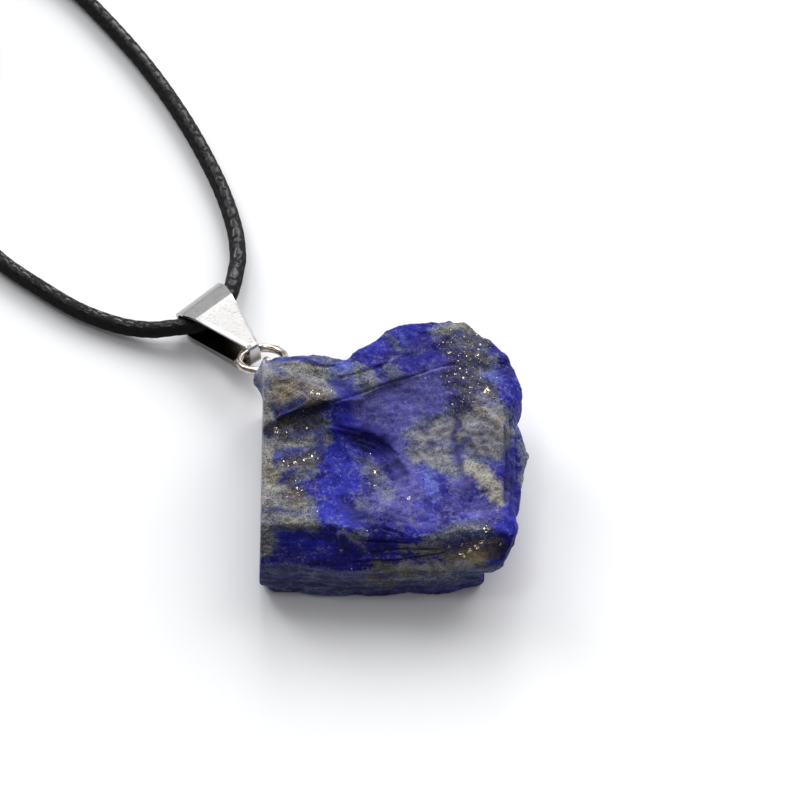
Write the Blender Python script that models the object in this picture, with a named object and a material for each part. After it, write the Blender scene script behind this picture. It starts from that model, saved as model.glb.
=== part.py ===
"""A raw lapis lazuli pendant lying on its flat underside, on a braided cord.

Metres, +Z up, +X to the right and +Y away from the viewer. The origin is the middle of the
stone and its metal findings, at the height of the surface that they lie on. Inside this
script lengths are in millimetres, and MM turns them into metres.
"""

import math

import bmesh
import bpy
import numpy as np
from mathutils import Matrix, Vector

MM = 0.001

# The middle of the stone and its findings, which becomes the world's origin
ORIGIN_AT = Vector((-0.37, 0.39, 0.0))

# Stone: what sets its size
STONE_MIDDLE = np.array((3.6, -4.7, 4.8))
SAWN_X = -9.35
SAWN_LEAN = math.radians(2.0)
FRONT_Y = -17.7
FRONT_WALL_TOP = 5.2
TOP_AT_FRONT = 7.9
TOP_AT_BACK = 10.0
TOP_FRONT_Y = -15.5
TOP_BACK_Y = 4.5

# How the stone's net is thrown outwards from its core onto the surface
STONE_BOX = np.array((15.5, 15.0, 7.5))
CORE_BOX = np.array((10.5, 7.8, 1.0))
GRID_CUTS = 99
STONE_TRIANGLES = 6200
FIRST_REACH = 1.5
LAST_REACH = 12.0
REACH_STEPS = 64
REACH_HALVINGS = 12

# Seen from above, the stone's widest outline, anticlockwise from the front left corner
OUTLINE = [
    (-9.9, -17.75),
    (-5.5, -17.85),
    (0.2, -18.25),
    (5.5, -17.95),
    (11.5, -17.8),
    (15.1, -17.8),
    (16.2, -15.9),
    (16.6, -12.9),
    (17.3, -9.0),
    (18.5, -6.2),
    (17.6, -4.0),
    (16.6, -1.2),
    (17.3, 1.4),
    (16.8, 3.3),
    (15.4, 5.0),
    (13.4, 7.0),
    (11.8, 8.6),
    (9.9, 9.5),
    (7.6, 8.55),
    (4.9, 8.4),
    (2.9, 7.4),
    (1.3, 5.8),
    (-0.6, 4.2),
    (-3.4, 4.2),
    (-6.6, 4.3),
    (-9.9, 4.45),
]

# Across the top, from left to right, the foot of the ledge whose upper layer broke away
LEDGE = [
    (-9.6, -4.35),
    (-7.4, -3.5),
    (-3.3, -2.4),
    (0.9, -0.65),
    (4.2, 0.6),
    (7.6, 2.2),
    (10.4, 3.2),
]
LEDGE_HEIGHT = [(-9.6, 0.2), (-7.0, 0.8), (-3.0, 0.75), (1.0, 0.5), (5.0, 0.3), (8.0, 0.15), (11.0, 0.0)]
LEDGE_FACE = 0.35
LEDGE_FADES_OVER = 6.0
LEDGE_GUTTER = 1.2
LEDGE_GUTTER_SHARE = 0.3

# A second, lower fold behind the ledge: its line, height, face and how it fades out
FOLD = [(-2.6, 0.75), (-1.3, 1.25), (1.0, 2.2), (3.4, 2.9)]
FOLD_HEIGHT = 0.3
FOLD_FACE = 0.4
FOLD_FADES_OVER = 3.0
FOLD_REACH = ((0.4, 2.4), (4.4, 4.0))

# Rises and dips of the top: height in the middle, where the middle is, and how far it reaches
SWELLS = [
    (1.2, (-5.9, 0.3), (5.6, 5.2)),
    (0.3, (10.5, 6.0), (5.0, 4.5)),
    (0.45, (13.2, -3.2), (3.2, 3.6)),
    (0.4, (12.0, -16.0), (3.6, 2.6)),
    (-0.7, (5.5, -5.0), (8.5, 6.0)),
]

# The scooped bowl at the front: a wide hollow, cut sharply at its far right rim, and a deeper middle
BOWL = ((0.1, -9.2), (4.9, 5.6))
BOWL_DEPTH = 0.8
BOWL_RIM_DEPTH = 0.5
BOWL_RIM_FACING = (0.75, 0.65)
BOWL_RIM_WIDTH = 3.5
INNER_BOWL = ((-1.2, -10.6), (3.6, 4.6))
INNER_BOWL_DEPTH = 0.45

# The front edge is broken off along a bevel, which is set back by a step where a ridge stands
BEVEL_STEP = 0.75
BEVEL_STEP_AT = (0.2, -16.1)
BEVEL_STEP_SLANT = 0.9
EDGE_ROUNDING = 0.7
BEVEL_ROUNDING = 0.25

# Flat breaks: a point on each, the way it faces and how its edges are rounded
RIGHT_SHOULDER = ((15.3, 0.0, 8.9), (0.72, 0.0, 0.69), 0.4)
RIGHT_WALL = ((17.7, -8.0, 6.0), (0.95, 0.0, 0.31), 0.3)
SHOULDER_AT_BACK = 1.1
FRONT_RIGHT_NOTCH = ((12.45, -17.6, 0.9), (0.80, -0.15, -0.58), 0.5)
PLAIN_BREAKS = [
    ((9.5, 8.6, 3.0), (0.15, 0.75, -0.64), 0.8),
    ((16.0, 1.0, 2.2), (0.78, 0.1, -0.62), 0.8),
    ((-9.15, FRONT_Y, 0.95), (-0.68, -0.35, -0.60), 0.4),
    ((-8.7, 4.2, 9.6), (-0.62, 0.50, 0.60), 0.5),
]

# Below the notch at the front right the stone stands out again in a low foot
FOOT_TOP = 1.5
FOOT_EDGE = 0.5
FOOT_STANDS_OUT = 0.75

# The walls lean in below the middle: at the back, and more on the right
TUCK_FROM = 5.0
TUCK_AT_BACK = 0.7
TUCK_AT_RIGHT = 1.5

# Long parallel splits along the right wall
RIB_DEPTH = 0.28
RIB_SPACING = 1.25

# A rounded knob on the sawn face's back edge, over the pin's hole
KNOB_MIDDLE = np.array((-8.85, 3.3, 7.6))
KNOB_RADII = np.array((1.6, 1.9, 2.1))
KNOB_ROUNDING = 0.3
BOTTOM_ROUNDING = 0.3

# Relief of the broken surfaces: kind, size of its lumps, height and layers of detail
RELIEFS = [
    ("swell", "CLOUDS", 4.0, 0.6, 1),
    ("chips", "VORONOI", 3.2, -0.35, 0),
    ("grit", "CLOUDS", 1.1, 0.16, 1),
]
FLAT_RIM = 0.5

# Findings. The bail's fold runs along FOLD_AXIS, and the foot is at the other end of its length
FOLD_AXIS = Vector((0.796, 0.605, 0.0))
BAIL_LENGTHWISE = Vector((0.600, -0.787, 0.12))
BAIL_MIDDLE = Vector((-15.2, 15.55, 2.03))
BAIL_WIDTH = 5.7
BAIL_FOOT_WIDTH = 1.25
BAIL_THICKNESS = 4.0
BAIL_REACH = 8.5
BAIL_STRIP = 0.34
BAIL_FOLD_LENGTH = 2.9
BAIL_FOLD_SHIFT = 1.0
BAIL_SKEW = 0.11
BAIL_TOP_ROUND = 0.5
BAIL_LOW_ROUND = 2.3
BAIL_LENGTH_TO_FOOT = BAIL_REACH - 0.4
RING_MIDDLE = Vector((-9.56, 8.15, 4.0))
RING_HEADING = math.radians(8.0)
RING_TILT = math.radians(25.0)
RING_RADIUS = 2.38
RING_WIRE = 0.44
FOOT_TURN = math.radians(207.0)
EYE_TURN = math.radians(15.0)
EYE_RADIUS = 1.1
EYE_WIRE = 0.32
PIN_INTO_STONE = Vector((0.385, -0.923, 0.0))
PIN_LENGTH = 5.2
PIN_HOLE_GAP = 0.3

# Cord
CORD_THICK = 1.8
CORD_POINTS = 35
CORD_ROUTE = [
    (-48.5, 66.5, 1.9),
    (-43.5, 67.2, 1.3),
    (-38.5, 65.9, 1.0),
    (-33.8, 62.8, 0.95),
    (-29.7, 58.6, 0.95),
    (-23.4, 50.2, 0.95),
    (-18.5, 41.9, 0.95),
    (-14.8, 33.8, 0.95),
    (-12.9, 27.7, 1.05),
    (-12.35, 23.5, 1.35),
    (-12.5, 21.4, 1.6),
    (-12.85, 18.9, 1.95),
    (-13.5, 16.75, 2.05),
    (-14.8, 15.0, 2.05),
    (-16.2, 14.15, 2.05),
    (-17.7, 13.8, 2.0),
    (-19.3, 13.75, 1.75),
    (-21.3, 13.8, 1.4),
    (-24.5, 14.6, 1.05),
    (-28.7, 16.5, 0.95),
    (-33.0, 19.5, 0.95),
    (-37.4, 23.1, 0.95),
    (-40.6, 27.2, 0.95),
    (-42.3, 32.0, 0.95),
    (-42.6, 37.5, 0.95),
    (-42.0, 43.5, 0.95),
    (-41.2, 50.1, 0.95),
]
COIL_MIDDLE = (-54.5, 54.0)
COIL_RADIUS = 9.9
COIL_BAND = 5.4
COIL_HEIGHT = 3.6
KNOT_MIDDLE = (-54.7, 49.6, 1.95)
KNOT_RADIUS = 1.9


def clear_scene():
    for obj in list(bpy.data.objects):
        bpy.data.objects.remove(obj, do_unlink=True)


def material(name, colour, roughness, metallic):
    made = bpy.data.materials.new(name)
    made.use_nodes = True
    shader = made.node_tree.nodes["Principled BSDF"]
    shader.inputs["Base Color"].default_value = (*colour, 1.0)
    shader.inputs["Roughness"].default_value = roughness
    shader.inputs["Metallic"].default_value = metallic
    return made


def add_object(name, mesh, made_of):
    obj = bpy.data.objects.new(name, mesh)
    bpy.context.scene.collection.objects.link(obj)
    if made_of:
        mesh.materials.append(made_of)
    return obj


def mesh_from(name, bm):
    bmesh.ops.recalc_face_normals(bm, faces=bm.faces)
    mesh = bpy.data.meshes.new(name)
    bm.to_mesh(mesh)
    bm.free()
    return mesh


# The stone's form


def smooth_step(value):
    value = np.clip(value, 0.0, 1.0)
    return value * value * (3.0 - 2.0 * value)


def smooth_max(a, b, radius):
    """The greater of two distances, with the edge between them rounded."""
    share = np.clip(0.5 + 0.5 * (a - b) / radius, 0.0, 1.0)
    return b + (a - b) * share + radius * share * (1.0 - share)


def along(line, x):
    """The height of a line of points over x."""
    return np.interp(x, *np.array(line).T)


def plane(p, point, normal):
    normal = np.array(normal, float)
    return (p - np.array(point)) @ (normal / np.linalg.norm(normal))


def mound(x, y, middle, radii):
    """1 in the middle of an oval and 0 from its edge outwards."""
    away = ((x - middle[0]) / radii[0]) ** 2 + ((y - middle[1]) / radii[1]) ** 2
    return np.clip(1.0 - away, 0.0, 1.0)


def step_up(beyond, face, fades_over):
    """A step of height 1 at a line, which sinks away again behind it."""
    return smooth_step(beyond / face) * np.exp(-np.clip(beyond, 0.0, None) / fades_over)


def outline_radius(angle):
    """How far the outline is from the stone's middle in each direction."""
    points = np.array(OUTLINE) - STONE_MIDDLE[:2]
    angles = np.arctan2(points[:, 1], points[:, 0])
    order = np.argsort(angles)
    return np.interp(angle, angles[order], np.hypot(*points[order].T), period=2.0 * math.pi)


def top_height(x, y):
    """The upper surface: a gentle slope, broken by a ledge, a fold and scoops."""
    x, y = x + 0.45 * np.sin(0.9 * y + 0.5), y + 0.4 * np.sin(0.8 * x + 1.3)
    slope = (TOP_AT_BACK - TOP_AT_FRONT) / (TOP_BACK_Y - TOP_FRONT_Y)
    height = TOP_AT_FRONT + slope * (y - TOP_FRONT_Y)
    for rise, middle, reach in SWELLS:
        height += rise * mound(x, y, middle, reach)
    beyond_ledge = y - along(LEDGE, x)
    rise = along(LEDGE_HEIGHT, x)
    height += rise * step_up(beyond_ledge, LEDGE_FACE, LEDGE_FADES_OVER)
    gutter = smooth_step(1.0 + beyond_ledge / LEDGE_GUTTER) * (beyond_ledge < 0.0)
    height -= LEDGE_GUTTER_SHARE * rise * gutter
    beyond_fold = y - along(FOLD, x)
    height += FOLD_HEIGHT * step_up(beyond_fold, FOLD_FACE, FOLD_FADES_OVER) * mound(x, y, *FOLD_REACH)
    bowl = mound(x, y, *BOWL)
    toward_rim = BOWL_RIM_FACING[0] * (x - INNER_BOWL[0][0]) + BOWL_RIM_FACING[1] * (y - BOWL[0][1])
    rim = smooth_step(toward_rim / BOWL_RIM_WIDTH) * smooth_step(bowl / 0.1)
    height -= BOWL_DEPTH * bowl + BOWL_RIM_DEPTH * rim
    return height - INNER_BOWL_DEPTH * mound(x, y, *INNER_BOWL)


def ribs(x, y, z):
    """Long parallel splits along the right wall."""
    across = 0.55 * x - 0.83 * z + 0.25 * np.sin(0.45 * y + 1.0)
    in_reach = smooth_step((x - 14.4) / 0.8) * smooth_step((7.5 - np.abs(y + 7.5)) / 3.0)
    return RIB_DEPTH * in_reach * np.abs(np.sin(math.pi * across / RIB_SPACING))


def from_sawn_face(p):
    """How far points are beyond the flat face that the stone was sawn along."""
    return plane(p, (SAWN_X, 0.0, 4.0), (-math.cos(SAWN_LEAN), 0.0, math.sin(SAWN_LEAN)))


def stone_distance(p):
    """Below 0 inside the stone and above 0 outside it, in about millimetres."""
    x, y, z = p.T
    from_middle = p[:, :2] - STONE_MIDDLE[:2]
    radius = np.hypot(*from_middle.T)
    angle = np.arctan2(from_middle[:, 1], from_middle[:, 0])
    wall = radius - outline_radius(angle)
    toward_back = smooth_step((y + 2.0) / 8.0)
    toward_right = smooth_step((x - 9.0) / 6.0)
    tuck = np.clip(TUCK_FROM - z, 0.0, None) / TUCK_FROM
    wall = 0.9 * (wall + (TUCK_AT_BACK * toward_back + TUCK_AT_RIGHT * toward_right) * tuck**1.5)
    shape = smooth_max(wall, z - top_height(x, y), EDGE_ROUNDING)
    ridge = smooth_step((x - BEVEL_STEP_AT[0] + BEVEL_STEP_SLANT * (y - BEVEL_STEP_AT[1])) / 0.5)
    bevel = plane(p, (0.0, FRONT_Y, FRONT_WALL_TOP), (0.0, -1.0, 1.0)) - BEVEL_STEP * ridge
    shape = smooth_max(shape, bevel, BEVEL_ROUNDING)
    set_out = SHOULDER_AT_BACK * smooth_step((y + 2.5) / 3.0)
    for (point, facing, rounding), outwards in ((RIGHT_SHOULDER, set_out), (RIGHT_WALL, 0.0)):
        shape = smooth_max(shape, plane(p, point, facing) + ribs(x, y, z) - outwards, rounding)
    point, facing, rounding = FRONT_RIGHT_NOTCH
    foot = FOOT_STANDS_OUT * smooth_step((FOOT_TOP - z) / FOOT_EDGE)
    shape = smooth_max(shape, plane(p, point, facing) - foot, rounding)
    for point, facing, rounding in PLAIN_BREAKS:
        shape = smooth_max(shape, plane(p, point, facing), rounding)
    shape = np.maximum(shape, from_sawn_face(p))
    knob = KNOB_RADII.min() * (np.linalg.norm((p - KNOB_MIDDLE) / KNOB_RADII, axis=1) - 1.0)
    shape = -smooth_max(-shape, -knob, KNOB_ROUNDING)
    return smooth_max(shape, -z, BOTTOM_ROUNDING)


def reach_surface(starts, rays):
    """How far along each ray from the stone's core its surface is."""
    steps = np.linspace(FIRST_REACH, LAST_REACH, REACH_STEPS)
    inside = np.full(len(rays), steps[0])
    found = np.zeros(len(rays), bool)
    for step in steps[1:]:
        found |= stone_distance(starts + rays * step) > 0.0
        inside[~found] = step
    outside = inside + (steps[1] - steps[0])
    for _ in range(REACH_HALVINGS):
        middle = (inside + outside) / 2.0
        out = stone_distance(starts + rays * middle[:, None]) > 0.0
        outside = np.where(out, middle, outside)
        inside = np.where(out, inside, middle)
    return (inside + outside) / 2.0


def displace(obj, name, kind, size, strength, depth):
    texture = bpy.data.textures.new(name, kind)
    texture.noise_scale = size * MM
    if kind == "CLOUDS":
        texture.noise_depth = depth
    modifier = obj.modifiers.new(name, "DISPLACE")
    modifier.texture = texture
    modifier.texture_coords = "LOCAL"
    modifier.vertex_group = "rough"
    modifier.strength = strength * MM
    modifier.mid_level = 0.5


def pin_hole(start, direction, length):
    """A cutter for the drilled hole that the eye pin is glued into."""
    bm = bmesh.new()
    bmesh.ops.create_cone(
        bm, cap_ends=True, segments=16,
        radius1=(EYE_WIRE + PIN_HOLE_GAP) * MM, radius2=(EYE_WIRE + PIN_HOLE_GAP) * MM,
        depth=length * MM,
    )
    turn = direction.to_track_quat("Z", "Y").to_matrix().to_4x4()
    middle = Matrix.Translation((start + direction * length / 2.0) * MM)
    bmesh.ops.transform(bm, matrix=middle @ turn, verts=bm.verts)
    cutter = add_object("pin_hole", mesh_from("pin_hole", bm), None)
    cutter.hide_render = True
    cutter.display_type = "WIRE"
    return cutter


def build_stone():
    bm = bmesh.new()
    bmesh.ops.create_cube(bm, size=2.0)
    bmesh.ops.subdivide_edges(bm, edges=bm.edges, cuts=GRID_CUTS, use_grid_fill=True)
    box = np.array([vert.co for vert in bm.verts]) * STONE_BOX
    core = np.clip(box, -CORE_BOX, CORE_BOX)
    rays = (box - core) / np.linalg.norm(box - core, axis=1)[:, None]
    starts = STONE_MIDDLE + core
    points = starts + rays * reach_surface(starts, rays)[:, None]
    for vert, point in zip(bm.verts, points):
        vert.co = point * MM
    bmesh.ops.triangulate(bm, faces=bm.faces)
    mesh = mesh_from("stone", bm)
    lapis = material("lapis", (0.05, 0.06, 0.36), 0.55, 0.0)
    stone = add_object("stone", mesh, lapis)

    from_flats = np.minimum(points[:, 2], np.abs(from_sawn_face(points)))
    weights = smooth_step((from_flats - 0.02) / FLAT_RIM)
    group = stone.vertex_groups.new(name="rough")
    for index, weight in enumerate(weights):
        group.add([index], float(weight), "REPLACE")
    for relief in RELIEFS:
        displace(stone, *relief)

    thin = stone.modifiers.new("thin", "DECIMATE")
    thin.ratio = STONE_TRIANGLES / len(mesh.polygons)
    return stone


# The findings


def ring_mesh(name, middle, first, second, radius, wire, around, sides):
    """A closed wire ring in the plane of two directions at right angles."""
    first, second = first.normalized(), second.normalized()
    across = first.cross(second)
    bm = bmesh.new()
    loops = []
    for i in range(around):
        turn = 2.0 * math.pi * i / around
        out = first * math.cos(turn) + second * math.sin(turn)
        loops.append(
            [
                bm.verts.new(
                    (middle + out * (radius + wire * math.cos(side)) + across * wire * math.sin(side)) * MM
                )
                for side in (2.0 * math.pi * j / sides for j in range(sides))
            ]
        )
    for i, loop in enumerate(loops):
        beyond = loops[(i + 1) % around]
        for j in range(sides):
            k = (j + 1) % sides
            bm.faces.new((loop[j], beyond[j], beyond[k], loop[k]))
    return mesh_from(name, bm)


def shade(obj):
    obj.data.shade_smooth()
    obj.data.set_sharp_from_angle(angle=math.radians(35.0))
    return obj


def build_jump_ring(steel):
    level, slope = ring_directions()
    mesh = ring_mesh("jump_ring", RING_MIDDLE, level, slope, RING_RADIUS, RING_WIRE, 32, 10)
    return shade(add_object("jump_ring", mesh, steel))


def ring_directions():
    """The ring's level diameter, and the one at right angles that rises toward the stone."""
    level = Vector((math.cos(RING_HEADING), math.sin(RING_HEADING), 0.0))
    downhill = Vector((-level.y, level.x, 0.0))
    return level, Vector((0.0, 0.0, math.sin(RING_TILT))) - downhill * math.cos(RING_TILT)


def on_ring(turn):
    """A point in the ring's wire, turned from the end that is nearest to the stone."""
    level, slope = ring_directions()
    return RING_MIDDLE + (level * math.sin(turn) + slope * math.cos(turn)) * RING_RADIUS


def ring_in_foot():
    """Where the ring's wire passes through the bail's foot."""
    return on_ring(FOOT_TURN)


def eye_middle():
    return on_ring(EYE_TURN)


def build_eye_pin(steel):
    """A bent eye and a straight shank that is glued into the stone."""
    mesh = ring_mesh("eye_pin", eye_middle(), PIN_INTO_STONE, Vector((0, 0, 1)), EYE_RADIUS, EYE_WIRE, 24, 8)
    pin = add_object("eye_pin", mesh, steel)
    bm = bmesh.new()
    bmesh.ops.create_cone(
        bm, cap_ends=True, segments=12, radius1=EYE_WIRE * MM, radius2=EYE_WIRE * MM, depth=PIN_LENGTH * MM
    )
    turn = PIN_INTO_STONE.to_track_quat("Z", "Y").to_matrix().to_4x4()
    shank_middle = eye_middle() + PIN_INTO_STONE * (EYE_RADIUS + PIN_LENGTH / 2.0)
    bmesh.ops.transform(bm, matrix=Matrix.Translation(shank_middle * MM) @ turn, verts=bm.verts)
    shank = add_object("shank", mesh_from("shank", bm), steel)
    shank.hide_render = True
    shank.display_type = "WIRE"
    join = pin.modifiers.new("join", "BOOLEAN")
    join.operation = "UNION"
    join.object = shank
    return shade(pin)


def arc(middle, reach, height, first, last, steps):
    """Points on an oval arc, between two angles in degrees."""
    turns = [math.radians(first + (last - first) * i / steps) for i in range(steps + 1)]
    return [(middle[0] + reach * math.cos(turn), middle[1] + height * math.sin(turn)) for turn in turns]


def bail_profile():
    """The strip's middle line seen from its side: (lengthwise, upwards), round the fold and the foot."""
    half = (BAIL_THICKNESS - BAIL_STRIP) / 2.0
    reach = BAIL_REACH - BAIL_STRIP / 2.0
    top, low = BAIL_TOP_ROUND, BAIL_LOW_ROUND
    points = arc((BAIL_FOLD_SHIFT, 0.0), BAIL_FOLD_LENGTH - BAIL_STRIP / 2.0, half, -90.0, -270.0, 12)
    points += [(reach * share, half) for share in (0.35, 0.65)]
    points += arc((reach - top, half - top), top, top, 90.0, 0.0, 4)
    points += arc((reach - low, low - half), low, low, -18.0, -90.0, 5)
    return points + [(reach * share, -half) for share in (0.55, 0.35)]


def build_bail(steel):
    """A strip folded round the cord and closed at its foot, narrowing from the fold to the foot."""
    profile = [Vector(point) for point in bail_profile()]
    upward = FOLD_AXIS.cross(BAIL_LENGTHWISE).normalized() * -1.0
    lengthwise = BAIL_LENGTHWISE.normalized()
    bm = bmesh.new()
    loops = []
    for i, point in enumerate(profile):
        tangent = (profile[(i + 1) % len(profile)] - profile[i - 1]).normalized()
        outward = Vector((-tangent.y, tangent.x))
        share = min(max(point.x / BAIL_LENGTH_TO_FOOT, 0.0), 1.0)
        half_width = (BAIL_WIDTH + (BAIL_FOOT_WIDTH - BAIL_WIDTH) * share) / 2.0
        askew = BAIL_SKEW * BAIL_WIDTH * (1.0 - share) ** 2
        corners = [(1, 1), (1, -1), (-1, -1), (-1, 1)]
        loop = []
        for face, side in corners:
            spot = point + outward * face * BAIL_STRIP / 2.0
            place = BAIL_MIDDLE + lengthwise * spot.x + upward * spot.y + FOLD_AXIS * half_width * side
            place -= lengthwise * askew * (1 + side) / 2.0
            loop.append(bm.verts.new(place * MM))
        loops.append(loop)
    for i, loop in enumerate(loops):
        beyond = loops[(i + 1) % len(loops)]
        for j in range(4):
            k = (j + 1) % 4
            bm.faces.new((loop[j], beyond[j], beyond[k], loop[k]))
    return shade(add_object("bail", mesh_from("bail", bm), steel))


# The cord


def smooth_route(points, count):
    """Evenly spaced points on a Catmull-Rom curve through the route."""
    points = [Vector(point) for point in points]
    ends = [points[0] * 2 - points[1], *points, points[-1] * 2 - points[-2]]
    fine = []
    for a, b, c, d in zip(ends, ends[1:], ends[2:], ends[3:]):
        for i in range(40):
            t = i / 40.0
            bend = a * 2 - b * 5 + c * 4 - d
            twist = b * 3 - a - c * 3 + d
            fine.append((b * 2 + (c - a) * t + bend * t**2 + twist * t**3) / 2)
    fine.append(points[-1])
    fine = np.array(fine)
    travelled = np.concatenate([[0.0], np.cumsum(np.linalg.norm(np.diff(fine, axis=0), axis=1))])
    spots = np.linspace(0.0, travelled[-1], count)
    return np.array([np.interp(spots, travelled, fine[:, axis]) for axis in range(3)]).T


def build_cord(waxed):
    curve = bpy.data.curves.new("cord", "CURVE")
    curve.dimensions = "3D"
    curve.bevel_depth = CORD_THICK / 2.0 * MM
    curve.bevel_resolution = 2
    curve.use_fill_caps = True
    spline = curve.splines.new("POLY")
    route = smooth_route(CORD_ROUTE, CORD_POINTS)
    spline.points.add(len(route) - 1)
    for point, place in zip(spline.points, route):
        point.co = (*(place * MM), 1.0)
    curve.materials.append(waxed)
    cord = bpy.data.objects.new("cord", curve)
    bpy.context.scene.collection.objects.link(cord)


def build_cord_coil(waxed):
    """The length of doubled cord that is wound up, as the closed ring that its turns fill."""
    bm = bmesh.new()
    around, sides = 40, 12
    loops = []
    for i in range(around):
        turn = 2.0 * math.pi * i / around
        out = Vector((math.cos(turn), math.sin(turn), 0.0))
        loop = []
        for j in range(sides):
            side = 2.0 * math.pi * j / sides
            # A rounded box in section: three cords wide and two high
            flat = [math.copysign(abs(value) ** 0.6, value) for value in (math.cos(side), math.sin(side))]
            radius = COIL_RADIUS + COIL_BAND / 2.0 * flat[0]
            height = COIL_HEIGHT / 2.0 * (1.0 + flat[1])
            place = Vector((*COIL_MIDDLE, 0.0)) + out * radius + Vector((0.0, 0.0, height))
            loop.append(bm.verts.new(place * MM))
        loops.append(loop)
    for i, loop in enumerate(loops):
        beyond = loops[(i + 1) % around]
        for j in range(sides):
            k = (j + 1) % sides
            bm.faces.new((loop[j], beyond[j], beyond[k], loop[k]))
    shade(add_object("cord_coil", mesh_from("cord_coil", bm), waxed))


def build_cord_knot(waxed):
    """The overhand knot that closes the cord's two ends, inside the coil."""
    bm = bmesh.new()
    bmesh.ops.create_icosphere(bm, subdivisions=2, radius=KNOT_RADIUS * MM)
    bmesh.ops.scale(bm, vec=(1.35, 1.0, 0.95), verts=bm.verts)
    bmesh.ops.translate(bm, vec=Vector(KNOT_MIDDLE) * MM, verts=bm.verts)
    shade(add_object("cord_knot", mesh_from("cord_knot", bm), waxed))


def hang_from(pivot_name, pivot, pieces, parent=None):
    """Puts pieces under an empty that stands on the axis that they turn about."""
    empty = bpy.data.objects.new(pivot_name, None)
    empty.empty_display_size = 2.0 * MM
    bpy.context.scene.collection.objects.link(empty)
    empty.location = pivot * MM
    if parent:
        empty.parent = parent
        empty.location -= parent.location
    for piece in pieces:
        piece.parent = empty
        piece.location = pivot * -MM
    return empty


def main():
    clear_scene()
    steel = material("polished_steel", (0.78, 0.77, 0.75), 0.18, 1.0)
    warm_steel = material("plated_wire", (0.76, 0.72, 0.68), 0.22, 1.0)
    waxed = material("waxed_cord", (0.012, 0.012, 0.014), 0.38, 0.0)
    stone = build_stone()
    hole = stone.modifiers.new("hole", "BOOLEAN")
    hole.operation = "DIFFERENCE"
    hole.object = pin_hole(eye_middle(), PIN_INTO_STONE, EYE_RADIUS + PIN_LENGTH + PIN_HOLE_GAP)
    eye_pin = build_eye_pin(warm_steel)
    jump_ring = build_jump_ring(warm_steel)
    build_bail(steel)
    foot_pivot = hang_from("foot_pivot", ring_in_foot(), [jump_ring])
    pieces = [stone, eye_pin, *(join.object for join in (stone.modifiers["hole"], eye_pin.modifiers["join"]))]
    hang_from("eye_pivot", eye_middle(), pieces, foot_pivot)
    build_cord(waxed)
    build_cord_coil(waxed)
    build_cord_knot(waxed)
    for obj in bpy.data.objects:
        if not obj.parent:
            obj.location -= ORIGIN_AT * MM


main()
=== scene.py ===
"""The looks of a raw lapis lazuli pendant on a braided cord, lying on a pale table.

The frame is in metres. Lengths here are in millimetres, and MM turns them into metres. Places on the
stone are named by where they show in the photograph's frame of 800 by 800 pixels, as (across, down).
"""

import math

import bmesh
import bpy
import numpy as np
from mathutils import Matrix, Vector, noise


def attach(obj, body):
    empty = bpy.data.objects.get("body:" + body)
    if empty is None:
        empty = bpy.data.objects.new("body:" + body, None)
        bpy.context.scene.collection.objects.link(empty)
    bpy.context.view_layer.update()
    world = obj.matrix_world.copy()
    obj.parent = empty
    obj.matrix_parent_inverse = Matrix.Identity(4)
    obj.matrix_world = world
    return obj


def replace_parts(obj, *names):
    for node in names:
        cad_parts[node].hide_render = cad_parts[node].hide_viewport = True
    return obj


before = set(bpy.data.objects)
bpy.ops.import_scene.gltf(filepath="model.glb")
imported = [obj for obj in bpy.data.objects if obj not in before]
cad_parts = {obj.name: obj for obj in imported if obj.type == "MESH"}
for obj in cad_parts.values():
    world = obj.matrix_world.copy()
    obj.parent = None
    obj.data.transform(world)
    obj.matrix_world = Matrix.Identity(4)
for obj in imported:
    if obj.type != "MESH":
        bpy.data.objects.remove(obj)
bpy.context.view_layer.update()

MM = 0.001

# View
PHOTO_PIXELS = 800
CAMERA_TARGET = Vector((5.06, 1.97, 5.0))
CAMERA_ELEVATION = math.radians(55.0)
CAMERA_DISTANCE = 498.9
CAMERA_LENS = 220.0
SENSOR = 36.0

# Light: soft glows of the studio, as (azimuth and elevation in degrees, how narrow, strength)
GLOWS = [
    (-38.0, 32.0, 60.0, 13.3),
    (35.0, 32.0, 16.0, 6.8),
    (2.0, 27.0, 70.0, 18.0),
    (-20.0, 48.0, 30.0, 1.45),
    (-5.0, 58.0, 150.0, 0.9),
    (-74.0, 71.0, 260.0, 12.0),
    (-25.0, 4.0, 14.0, 0.7),
]
FILL_STRENGTH = 0.222

# Stone
VOXEL = 0.17
SMOOTHING_STEPS = 10
SAWN_X = -8.98
SAWN_LEAN = math.radians(2.0)
FRONT_WALL_TOP = 5.2

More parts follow.
